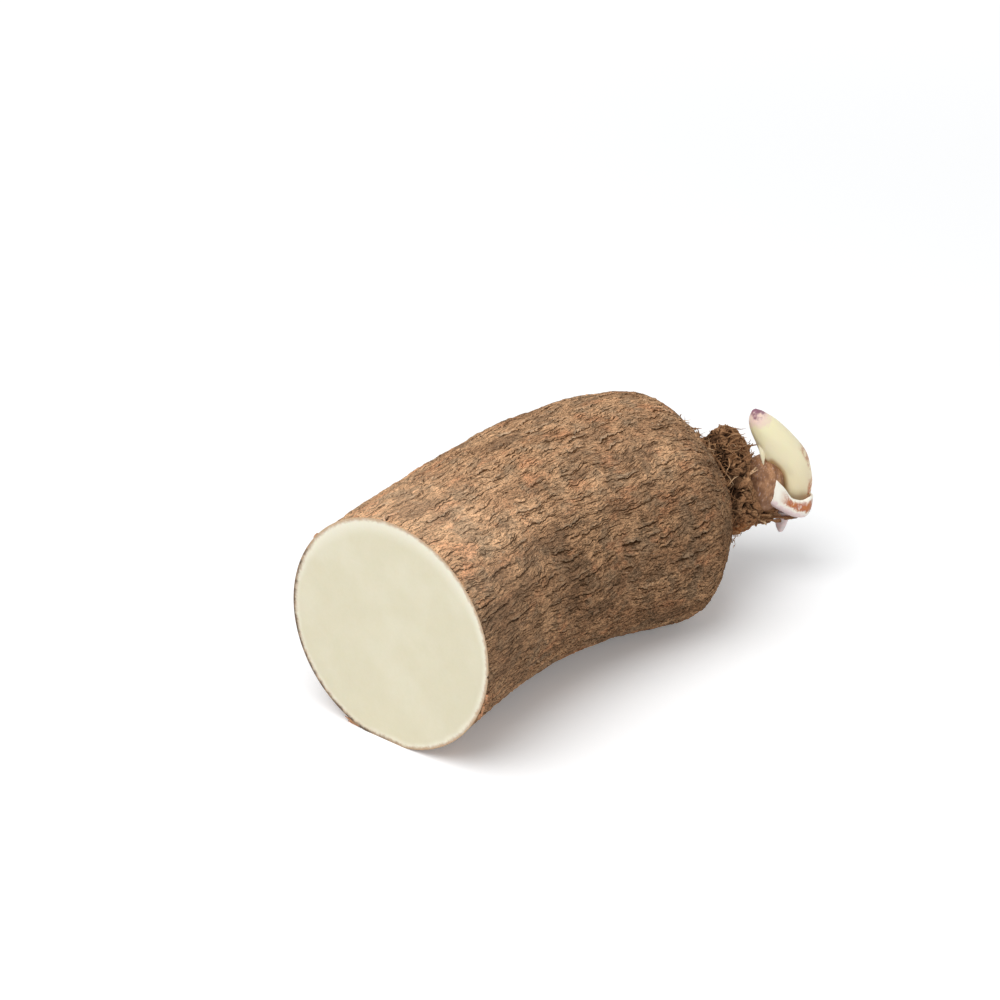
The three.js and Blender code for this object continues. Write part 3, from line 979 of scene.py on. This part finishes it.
class YAM_OT_fibres(bpy.types.Operator):
    """Model the frayed fibres of the old stem, of the groove behind it and of the shoulder"""

    bl_idname = "yam.fibres"
    bl_label = "Fibres"

    SEED = 31
    RING_HEIGHT = 0.97  # height over width of the rings of fibres round the scar
    SCAR_RING = 24.5  # radius of the ring at the scar
    SHOULDER_SLOPE = 1.36  # how fast the rings widen back along the shoulder

    def execute(self, context):
        settings = context.scene.yam_crown
        rng = np.random.default_rng(self.SEED)
        kinds = ((self.tuft_fibre, 2), (self.collar_fibre, 2), (self.loose_fibre, 1), (self.pad_fibre, 5))
        made = [kind(rng) for kind, tenths in kinds for _ in range(settings.fibre_count * tenths // 10)]
        finished("crown_fibres", *gathered(made, rng), [fibre_material(settings)], "crown")
        return {"FINISHED"}

    @staticmethod
    def fibre(rng, start, heading, lengths, radii, flats=(0.4, 1), bend=0.3):
        """A strand that wanders from start, a little under the surface, in three parts."""
        length = rng.uniform(*lengths)
        points = [start - heading * 0.8]
        for _ in range(3):
            heading = unit(heading + rng.normal(0, bend, 3))
            points.append(points[-1] + heading * length / 3)
        radius = rng.uniform(*radii)
        return strand(on_crown(points), radius, rng.uniform(*flats) if flats else 1.0)

    def on_ring(self, along, ring, turn):
        return np.array((along, ring * math.sin(turn) * self.RING_HEIGHT, ring * math.cos(turn)))

    def tuft_fibre(self, rng):
        """One of the fibres that spring from the frayed end of the old stem."""
        start, away = crown_surface((0.08 + rng.normal(0, 0.22), 0.95, 0.2 + rng.normal(0, 0.22)))
        heading = unit(away * 0.1 + rng.normal(0, 0.55, 3) + (0.25, -0.4, 0.7))
        return self.fibre(rng, start, heading, (3, 8), (0.2, 0.55), bend=0.38)

    def pad_fibre(self, rng):
        """One of the matted fibres where the bark of the shoulder frays under the old stem."""
        turn = rng.normal(1.6, 0.36)
        along = rng.uniform(-11, 1)
        ring = self.SCAR_RING - self.SHOULDER_SLOPE * min(along, 0) + rng.uniform(-0.8, 1.2)
        outward = np.array((0.55, 0.83 * math.sin(turn), 0.83 * math.cos(turn)))
        heading = unit(np.cross(outward, rng.normal(0, 1, 3)) + outward * rng.uniform(-0.1, 0.35))
        return self.fibre(rng, self.on_ring(along, ring, turn), heading, (3, 8), (0.2, 0.6))

    def collar_fibre(self, rng):
        """One of the fibres in the groove between the shoulder and the crown."""
        turn = rng.uniform(-0.5, math.pi + 0.5)
        ring = rng.uniform(21, 27)
        start = self.on_ring(rng.uniform(-2.5, 1.5), ring, turn)
        outward = unit(start * (0, 1, 1))
        twist = 0.7 * rng.normal() * np.cross((1, 0, 0), outward)
        heading = unit(twist + outward * rng.uniform(-0.4, 0.5) + (rng.uniform(0, 0.9), 0, 0))
        return self.fibre(rng, start, heading, (2.5, 7), (0.12, 0.32))

    def loose_fibre(self, rng):
        """A round fibre that lies over the wood."""
        aim = unit(rng.normal(0, 1, 3))
        if aim[0] > 0.3:
            aim[0] *= -0.8
        start, away = crown_surface(aim)
        heading = unit(unit(np.cross(away, rng.normal(0, 1, 3))) + away * 0.15)
        return self.fibre(rng, start + away * 0.4, heading, (2.5, 5), (0.12, 0.28), flats=None, bend=0.2)


class YAM_OT_husks(bpy.types.Operator):
    """Model the dry husks round the socket, the knob and the foot of the bud"""

    bl_idname = "yam.husks"
    bl_label = "Husks"

    SEED = 12
    SCRAPS = 17
    THICKNESS = 0.4
    CURL = 0.1
    SUNK, BACK = 0.4, 1.5  # how far the foot of a husk is let into the wood and set back

    # Direction from the crown's centre, which way the husk runs, its length and its width.
    HUSKS = (
        ((0.62, -0.64, 0.45), (0.6, -0.6, 0.2), 4.0, 3.4),
        ((0.76, -0.58, 0.32), (0.95, -0.10, 0.10), 11.0, 3.2),
        ((0.72, -0.64, 0.40), (0.9, -0.20, 0.20), 7.0, 3.0),
        ((0.80, -0.54, 0.22), (0.95, -0.16, 0.12), 8.5, 4.2),
        ((0.80, -0.44, 0.42), (0.85, -0.30, 0.20), 6.0, 5.0),
        ((0.70, -0.62, 0.50), (0.95, -0.10, 0.05), 6.0, 3.6),
        ((0.78, -0.50, 0.36), (0.9, -0.1, 0.2), 5.0, 3.0),
        ((0.80, -0.52, 0.05), (0.9, -0.4, 0.0), 5.0, 4.0),
        ((0.35, 0.62, 0.70), (0.3, 0.5, 0.4), 5.0, 4.0),
        ((0.22, 0.80, 0.55), (0.5, 0.6, 0.3), 5.5, 3.4),
        ((-0.05, 0.84, 0.52), (0.2, 0.8, 0.5), 4.5, 3.6),
        ((0.05, 0.97, 0.20), (0.5, 0.6, 0.6), 5.5, 2.0),
        ((0.30, -0.10, 0.95), (0.4, -0.5, 0.6), 4.5, 4.4),
        ((0.10, 0.10, 0.99), (0.3, 0.4, 0.7), 3.6, 3.4),
        ((0.72, 0.50, -0.45), (0.7, 0.5, -0.3), 6.0, 5.0),
        ((0.60, 0.10, -0.80), (0.6, 0.1, -0.7), 6.0, 5.0),
        ((0.30, -0.60, -0.75), (0.4, -0.7, -0.5), 5.0, 4.0),
    )

    def execute(self, context):
        settings = context.scene.yam_crown
        rng = np.random.default_rng(self.SEED)
        made = []
        for aim, run, length, width in (*self.HUSKS, *self.socket_scraps(rng)):
            foot, away = crown_surface(aim)
            ahead = unit(run)
            across = unit(np.cross(ahead, away))
            foot = foot - away * self.SUNK - ahead * self.BACK
            foot, ahead, across = on_crown((foot, foot + ahead, foot + across))
            lines = (ahead - foot, across - foot)
            made.append(shard(foot, *lines, length, width, self.THICKNESS, self.CURL, rng))
        finished("crown_husks", *gathered(made, rng), [fibre_material(settings)], "crown")
        return {"FINISHED"}

    def socket_scraps(self, rng):
        """Scraps that stand round the mouth of the dry socket, each leaning out and along the ring."""
        aim = unit(SOCKET)
        wide = unit(np.cross(aim, UP))
        tall = np.cross(wide, aim)
        for k in range(self.SCRAPS):
            turn = FULL_TURN * (k + rng.uniform(-0.3, 0.3)) / self.SCRAPS
            spoke = math.cos(turn) * wide + math.sin(turn) * tall
            ring = math.cos(turn) * tall - math.sin(turn) * wide
            run = spoke * rng.uniform(-0.5, 0.5) + ring * rng.choice((-1, 1)) + aim * rng.uniform(0, 0.4)
            away = aim + spoke * rng.uniform(0.16, 0.26)
            yield away, run, rng.uniform(2.2, 4.2), rng.uniform(0.8, 1.8)


@look("shred", 0.8)
def shred_material(w, settings):
    grit = w.noise(w.place(), 0.8, detail=3)
    return w.mix(grit.step(0.4, 0.6), settings.rust, settings.brown), grit, 0.4


class YAM_OT_shreds(bpy.types.Operator):
    """Model the shreds of skin that the knife left at the rim of the cut"""

    bl_idname = "yam.shreds"
    bl_label = "Skin shreds"

    SEED = 5
    THICKNESS = 0.35
    CURL = 0.02
    LOWEST = (0.02, -math.inf, 0.1)  # the shreds stay this far from the cut and from the floor
    BEHIND = 0.4  # how far behind the cut a shred starts
    LEAN, FLARE = 0.2, 0.06  # how much a shred leans back, and outward along its run

    # Turn round the rim, 0 at the near side and a quarter turn at the top; length, width and
    # how far outside the rim the shred lies.
    SHREDS = (
        (-1.81, 8.5, 4.4, 1.8),
        (-1.90, 6.0, 3.0, 1.2),
        (-0.31, 4.5, 1.6, 0.4),
        (-0.40, 3.2, 1.2, 0.4),
        (-0.18, 2.6, 1.0, 0.4),
        (2.45, 3.0, 1.2, 0.1),
        (1.9, 2.2, 1.0, 0.1),
    )

    def execute(self, context):
        settings = context.scene.yam_tuber
        rng = np.random.default_rng(self.SEED)
        made = []
        for turn, length, width, outside in self.SHREDS:
            reach = settings.cut_radius / MM * (1 + swelling(turn, 0.0))
            spoke = np.array((0, -math.cos(turn), math.sin(turn) * YAM_OT_tuber.SECTION_HEIGHT))
            outward = unit(spoke)
            across = unit(outward + (self.LEAN, 0, 0))
            ahead = unit(np.cross((1, 0, 0), outward) + outward * self.FLARE)
            foot = spoke * reach + outward * outside + (self.BEHIND, 0, CUT_HEIGHT)
            made.append(shard(foot, ahead, across, length, width, self.THICKNESS, self.CURL, rng))
        bm, attributes = gathered(made, rng)
        move_points(bm, np.maximum(points_of(bm), self.LOWEST))
        finished("skin_shreds", bm, attributes, [shred_material(settings)], "bark")
        return {"FINISHED"}


# ---- bud, shoot, scale leaf and root


def placed(bm, spine, shape=None):
    """Shapes a turned form, bends it along a spine of the crown and gives its attributes.

    `place` is the share along it and the cosine and sine of the turn round it."""
    form = points_of(bm)
    shares = form[:, 1] / form[:, 1].max()
    turns = np.arctan2(form[:, 2], form[:, 0])
    if shape:
        shape(form, shares, turns)
    move_points(bm, bent(form, spine, crown_sides))
    place = np.stack((shares, np.cos(turns), np.sin(turns)), axis=-1)
    return bm, {"place": place, "grain": form, "outward": outward_normals(bm)}


def sprout(line, widths, length, radius, rings, sides, shape=None):
    """A turned form along a line of the crown; its widths are (share along, share of the radius).

    Without a length it is as long as its line."""
    spine = Spine(on_crown(line))
    stations = np.array(widths) * (length or spine.length, radius)
    return placed(turned(even_stations(spline(stations), rings), sides), spine, shape)


def bud_wrinkles(w, grain):
    """Height of the bud's skin in millimetres."""
    return w.swing(grain * (1.0, 0.25, 1.0), 1.4, 0.45) + w.swing(grain, 5, 0.9)


@look("bud", 0.55)
def bud_material(w, settings):
    grain = w.named("grain")
    fine = w.noise(grain * (1.0, 0.2, 1.0), 0.6, detail=3)
    tone = w.coats(
        settings.bud_dark,
        (settings.bud, w.noise(grain, 3, detail=3).step(0.35, 0.65)),
        (settings.bud_dark, fine.step(0.55, 0.35, 0.0, 0.5)),
        (settings.scale_pink, fine.step(0.55, 0.75, 0.0, 0.35)),
        (settings.bud_dark, w.split(grain)[1].step(8, 1)),
    )
    return tone, bud_wrinkles(w, grain) + fine * 0.15, 0.5


class YAM_OT_bud(bpy.types.Operator):
    """Model the swollen bud that the shoot breaks from"""

    bl_idname = "yam.bud"
    bl_label = "Bud"

    LINE = ((21.5, -6.5, 2), (26.5, 18.5, 2.5))
    WIDTHS = ((0, 0.45), (0.12, 0.84), (0.4, 1.02), (0.72, 0.84), (0.94, 0.4), (1, 0.08))

    def execute(self, context):
        settings = context.scene.yam_shoot
        height, radius = settings.bud_height / MM, settings.bud_radius / MM
        made = sprout(self.LINE, self.WIDTHS, height, radius, rings=110, sides=150)
        raise_relief(finished("bud_skin", *made, [bud_material(settings)], "bud_skin", "bud"), bud_wrinkles)
        return {"FINISHED"}


@look("shoot", 0.36, gloss=0.5, subsurface=0.15, spread=(1.0, 0.8, 0.4))
def shoot_material(w, settings):
    place = w.named("place")
    along, outer, near = w.split(place)
    spot = w.place()
    blotch = w.noise(spot, 3.2, detail=3, roughness=0.6)
    rough = (blotch - 0.5) * 0.16
    reached = outer * 0.02 + along + rough
    uneven = rough * 1.7 + along
    low_stain = uneven.step(0.02, 0.06) * uneven.step(0.21, 0.14)
    high_stain = uneven.step(0.27, 0.34) * uneven.step(0.5, 0.42) * outer.step(0.5, 0.75)
    side = (outer + rough * 2.2).step(0.22, 0.5) * (rough * 3.0 + near).step(-0.55, 0.1)
    stains = blotch.step(0.4, 0.52, 0.25, 1.0) * (side * (low_stain + high_stain * 0.85))
    # Golden brown along the sheath's inner edge: partly its dry margin, partly painted shade under the flap.
    inner_edge_and_shade = outer.step(-0.66, -0.9) * along.step(0.62, 0.54) * near.step(-0.5, -0.2)
    tone = w.coats(
        settings.cream,
        (settings.green, w.noise(spot, 7).step(0.35, 0.65, 0.0, 0.25)),
        (settings.green, along.step(0.68, 0.82) * along.step(0.95, 0.84) * 0.5),
        (settings.sheath_edge_and_shade, along.step(0.5, 0.05, 0.0, 0.22)),
        (settings.blush, reached.step(0.84, 0.94, 0.0, 0.8)),
        (settings.purple, reached.step(0.935, 0.985, 0.0, 0.88)),
        (settings.stain, stains * 0.95),
        (settings.sheath_edge_and_shade, inner_edge_and_shade * 0.85),
    )
    return tone, w.noise(place * (0.6, 1.0, 1.0), 0.06), 0.08


class YAM_OT_shoot(bpy.types.Operator):
    """Model the shoot: a closed, curved sheath with a torn flap over the bud"""

    bl_idname = "yam.shoot"
    bl_label = "Shoot"

    LINE = (
        (42.5, -5, 3.2),
        (41.5, 3.5, 4),
        (38.4, 14, 4.5),
        (32.3, 22.8, 4.5),
        (26.3, 30.3, 4.5),
        (21.2, 37.3, 4.5),
        (18.2, 43.4, 4.5),
    )
    WIDTHS = (
        (0, 0.7),
        (0.05, 0.9),
        (0.2, 0.94),
        (0.42, 1),
        (0.62, 0.97),
        (0.8, 0.8),
        (0.93, 0.52),
        (1, 0.16),
    )
    FLAP_LINE = ((22.6, 33, 4.0), (22.2, 27.5, 5.6), (22.1, 23, 6.8), (22.6, 17, 7.2))
    FLAP_WIDTHS = ((0, 0.5), (0.2, 0.9), (0.4, 0.82), (0.6, 0.62), (0.82, 0.36), (1, 0.06))
    FLAP_RADIUS = 2.5
    FLAP_FLAT = 0.5
    FLAP_SHARE = 0.55  # the flap has the colours that the shoot has this far along

    def execute(self, context):
        settings = context.scene.yam_shoot
        looks = [shoot_material(settings)]

        def shape(form, shares, turns):
            form[:, [0, 2]] *= np.outer(self.swelling(shares, turns), (1, settings.shoot_flat))

        def flatten(form, shares, turns):
            form[:, 2] *= self.FLAP_FLAT

        radius = settings.shoot_radius / MM
        made = sprout(spline(self.LINE), self.WIDTHS, None, radius, rings=170, sides=130, shape=shape)
        finished("shoot_sheath", *made, looks, "shoot", "shoot")
        line = spline(self.FLAP_LINE)
        made = sprout(line, self.FLAP_WIDTHS, None, self.FLAP_RADIUS, rings=50, sides=40, shape=flatten)
        made[1]["place"][:, 0] = self.FLAP_SHARE
        finished("shoot_flap", *made, looks, "shoot")
        return {"FINISHED"}

    @staticmethod
    def swelling(shares, turns):
        """Scale of the sheath's radius, with its torn edge, the claw and the brow over the bud."""
        whole_turns = np.mod(turns, FULL_TURN)
        edge = bell(whole_turns, 0.9 * math.pi, 0.13)
        edge *= smoothstep(shares, 0.1, 0.2) * (1 - smoothstep(shares, 0.55, 0.66))
        claw = bell(whole_turns, 0.85 * math.pi, 0.9) * np.exp(-((shares - 0.13) / 0.13) ** 2)
        brow = bell(whole_turns, math.pi, 0.8) * np.exp(-((shares - 0.6) / 0.1) ** 2)
        lumps = 0.012 * np.sin(3 * turns + 9 * shares) + 0.008 * np.sin(7 * turns - 14 * shares)
        foot = 0.17 * (1 - smoothstep(shares, 0.05, 0.18)) + 0.15 * (1 - smoothstep(shares, 0.0, 0.05))
        tuck = foot * bell(turns, -0.15, 0.85)  # keeps the foot inside the scale leaf
        return 1 + 0.05 * edge + 0.26 * claw + 0.15 * brow - tuck + lumps


@look("scale_leaf", 0.45, subsurface=0.05, spread=(1.0, 0.8, 0.6))
def scale_leaf_material(w, settings):
    place = w.named("place")
    along, outer, near = w.split(place)
    blotch = w.noise(w.place(), 2.4, detail=3, roughness=0.65)
    streaky = w.noise(place * (0.25, 1.0, 1.0), 0.09)
    uneven = (blotch - 0.5) * 0.5 + along + (streaky - 0.5) * 0.2
    band = uneven.step(0.3, 0.48) * uneven.step(0.98, 0.78)
    side = near.step(0.0, 0.35) * outer.step(-0.6, -0.25)
    stain = band * side * streaky.step(0.3, 0.5, 0.5, 1.0) * blotch.step(0.3, 0.5, 0.5, 0.95)
    rust = w.mix(blotch.step(0.42, 0.6), settings.scale_rust, settings.stain)
    tone = w.coats(settings.scale_pink, (settings.scale, 1.0 - uneven.step(0.42, 0.1)), (rust, stain))
    return tone, blotch, 0.12


class YAM_OT_scale_leaf(bpy.types.Operator):
    """Model the torn scale leaf, a thick cup round the foot of the shoot"""

    bl_idname = "yam.scale_leaf"
    bl_label = "Scale leaf"

    LINE = ((34, -7.5, 5.2), (40.3, 2.2, 3.2))
    WALL = 1.5

    def execute(self, context):
        settings = context.scene.yam_shoot
        radius = settings.scale_radius / MM
        depth = settings.scale_depth / MM
        outside = spline(np.array(((0, 0.78), (0.15, 0.97), (0.5, 1), (1, 0.88))) * (depth, radius))
        inside = spline(
            (
                (depth, 0.88 * radius - self.WALL * 0.6),
                (0.6 * depth, 0.98 * radius - self.WALL),
                (0.3 * depth, 0.7 * radius),
                (0.22 * depth, 0.4 * radius),
            )
        )
        bm = turned(even_stations(np.vstack((outside, inside)), rings=70), sides=150)

        def shape(form, shares, turns):
            whole_turns = np.mod(turns, FULL_TURN)
            rising = smoothstep(shares, 0.2, 1.0)
            torn = 0.03 * np.sin(7 * turns + 1) + 0.02 * np.sin(13 * turns)
            tooth = bell(whole_turns, 0.76 * math.pi, 0.36)
            low = -0.3 * bell(turns, 1.75, 0.42)
            lap = bell(whole_turns, 0.8 * math.pi, 0.75)  # the side that laps over the bud
            form[:, 0] -= 5.6 * lap * smoothstep(shares, -0.3, 0.15) + 3.4 * tooth * rising
            form[:, 2] += 1.2 * tooth * rising
            form[:, 1] *= 1 + rising * (torn + 0.2 * tooth + low)
            outer = smoothstep(form[:, 0] / radius, -0.1, 1.0)  # sits higher, close to the shoot
            form[:, 1] += 2.2 * outer
            form[:, 0] -= 1.15 * outer
            form[:, [0, 2]] *= 1 + 0.17 * bell(turns, 0.95, 0.5)[:, None]

        made = placed(bm, Spine(on_crown(self.LINE)), shape)
        finished("scale_leaf_cup", *made, [scale_leaf_material(settings)], "scale_leaf", "scale_leaf")
        return {"FINISHED"}


@look("root", 0.5, subsurface=0.3, spread=(1.0, 0.6, 0.5))
def root_material(w, settings):
    blotch = w.noise(w.place(), 2, detail=3)
    return w.mix(blotch.step(0.4, 0.65), settings.root, settings.scale_pink), blotch, 0.3


class YAM_OT_root_tip(bpy.types.Operator):
    """Model the root tip under the socket"""

    bl_idname = "yam.root_tip"
    bl_label = "Root tip"

    LINE = ((35, -9.5, 5), (33.6, -20, 5.5))
    WIDTHS = ((0, 1), (0.5, 0.9), (0.8, 0.7), (1, 0.36))

    def execute(self, context):
        settings = context.scene.yam_shoot
        length, radius = settings.root_length / MM, settings.root_radius / MM

        def shape(form, shares, turns):
            form[:, [0, 2]] *= (1 + 0.06 * np.sin(3 * turns + 5 * shares))[:, None]

        made = sprout(self.LINE, self.WIDTHS, length, radius, rings=50, sides=60, shape=shape)
        finished("root_peg", *made, [root_material(settings)], "root", "root_tip")
        return {"FINISHED"}


# ---- stage


def linked(name, data):
    thing = bpy.data.objects.new(name, data)
    bpy.context.scene.collection.objects.link(thing)
    return thing


class YAM_OT_stage(bpy.types.Operator):
    """Set up the pale floor, the even light, the soft lamp and the camera"""

    bl_idname = "yam.stage"
    bl_label = "Stage"

    FLOOR_SIZE = 8.0
    FLOOR_GLOW = 0.16  # what the floor adds to itself for the camera, so that it reads as white
    FAR_GLOW = 0.5  # the same far from the half, where the lamp is weak
    GLOW_REACH = (0.35, 1.6)  # metres from the half between which the one gives way to the other
    SIGHT = 50.0  # how far the camera sees, in metres
    LAMP_WIDTH = 1.5
    LAMP_DISTANCE = 1.7
    LAMP_LEFT, LAMP_TOWARDS, LAMP_UP = 0.42, 0.62, 1.25  # the way to the lamp, as the camera sees it

    def execute(self, context):
        settings = context.scene.yam_stage
        self.add_floor(settings)
        self.add_world(context.scene, settings)
        aim = (CAD_BOX[0] + CAD_BOX[1]) / 2 + Vector(settings.aim)
        sine, cosine = math.sin(settings.azimuth), math.cos(settings.azimuth)
        towards = Vector((sine, -cosine, 0))
        left = Vector((-cosine, -sine, 0))
        away = towards * math.cos(settings.elevation) + Vector(UP) * math.sin(settings.elevation)
        data = bpy.data.cameras.new("camera")
        data.lens = settings.lens
        data.clip_end = self.SIGHT
        context.scene.camera = self.aimed(linked("camera", data), aim + away * settings.distance, aim)

        data = bpy.data.lights.new("key", "AREA")
        data.shape = "DISK"
        data.size = self.LAMP_WIDTH
        data.energy = settings.key_light
        lamp_way = left * self.LAMP_LEFT + towards * self.LAMP_TOWARDS + Vector(UP) * self.LAMP_UP
        self.aimed(linked("key", data), aim + lamp_way.normalized() * self.LAMP_DISTANCE, aim)
        context.scene.view_settings.view_transform = "Standard"
        return {"FINISHED"}

    @staticmethod
    def aimed(thing, place, aim):
        thing.location = place
        thing.rotation_euler = (aim - place).to_track_quat("-Z", "Y").to_euler()
        return thing

    def add_floor(self, settings):
        bm = bmesh.new()
        bmesh.ops.create_grid(bm, x_segments=1, y_segments=1, size=self.FLOOR_SIZE / 2)
        mesh = bpy.data.meshes.new("floor")
        bm.to_mesh(mesh)
        bm.free()
        material, w, inputs = plain_material("floor", roughness=0.9, gloss=0.0)
        inputs["Base Color"].default_value = (*settings.floor, 1)
        seen = self.rays(w, "Is Camera Ray", "Is Glossy Ray")
        place = w.add("ShaderNodeTexCoord", output="Object")
        distance = w.add("ShaderNodeVectorMath", {0: place}, output="Value", operation="LENGTH")
        strength = distance.step(*self.GLOW_REACH, self.FLOOR_GLOW, self.FAR_GLOW)
        glow = w.add("ShaderNodeEmission", {"Strength": seen * strength})
        shader = w.tree.nodes["Principled BSDF"].outputs[0]
        both = w.add("ShaderNodeAddShader", {0: shader, 1: glow})
        w.feed(w.tree.nodes["Material Output"].inputs["Surface"], both)
        mesh.materials.append(material)
        linked("floor", mesh)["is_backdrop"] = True

    def add_world(self, scene, settings):
        scene.world = bpy.data.worlds.new("studio")
        scene.world.use_nodes = True
        w = Wires(scene.world.node_tree)
        shows = self.rays(w, "Is Camera Ray", "Is Transmission Ray", "Is Glossy Ray")
        background = w.tree.nodes["Background"].inputs
        background["Color"].default_value = (1, 1, 1, 1)
        w.feed(background["Strength"], shows.step(0.0, 1.0, settings.world_light, 1.0))

    @staticmethod
    def rays(w, *kinds):
        """1 for rays of any of these kinds, and 0 for the others."""
        shows = 0.0
        for kind in kinds:
            shows = w.math("MAXIMUM", shows, w.add("ShaderNodeLightPath", output=kind))
        return shows


# ---- panel and registration


OPERATORS = (
    YAM_OT_tuber,
    YAM_OT_shreds,
    YAM_OT_crown,
    YAM_OT_fibres,
    YAM_OT_husks,
    YAM_OT_bud,
    YAM_OT_shoot,
    YAM_OT_scale_leaf,
    YAM_OT_root_tip,
    YAM_OT_stage,
)


class YAM_PT_panel(bpy.types.Panel):
    """Lists the settings and the pieces of the half"""

    bl_idname = "YAM_PT_panel"
    bl_label = "Cut yam half"
    bl_space_type = "VIEW_3D"
    bl_region_type = "UI"
    bl_category = "Yam"

    def draw(self, context):
        for name, group in SETTINGS.items():
            box = self.layout.box()
            for key in group.__annotations__:
                box.prop(getattr(context.scene, name), key)
        for operator in OPERATORS:
            self.layout.operator(operator.bl_idname)


def register():
    for each in (*SETTINGS.values(), *OPERATORS, YAM_PT_panel):
        bpy.utils.register_class(each)
    for name, group in SETTINGS.items():
        setattr(bpy.types.Scene, name, PointerProperty(type=group))


def unregister():
    for name in SETTINGS:
        delattr(bpy.types.Scene, name)
    for each in (YAM_PT_panel, *reversed(OPERATORS), *reversed(SETTINGS.values())):
        bpy.utils.unregister_class(each)


def main():
    register()
    for operator in OPERATORS:
        group, name = operator.bl_idname.split(".")
        getattr(getattr(bpy.ops, group), name)()
    boxes = {"cad": CAD_BOX, "visual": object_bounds()}
    {key: [list(corner) for corner in box] for key, box in boxes.items()}


if __name__ == "__main__":
    main()
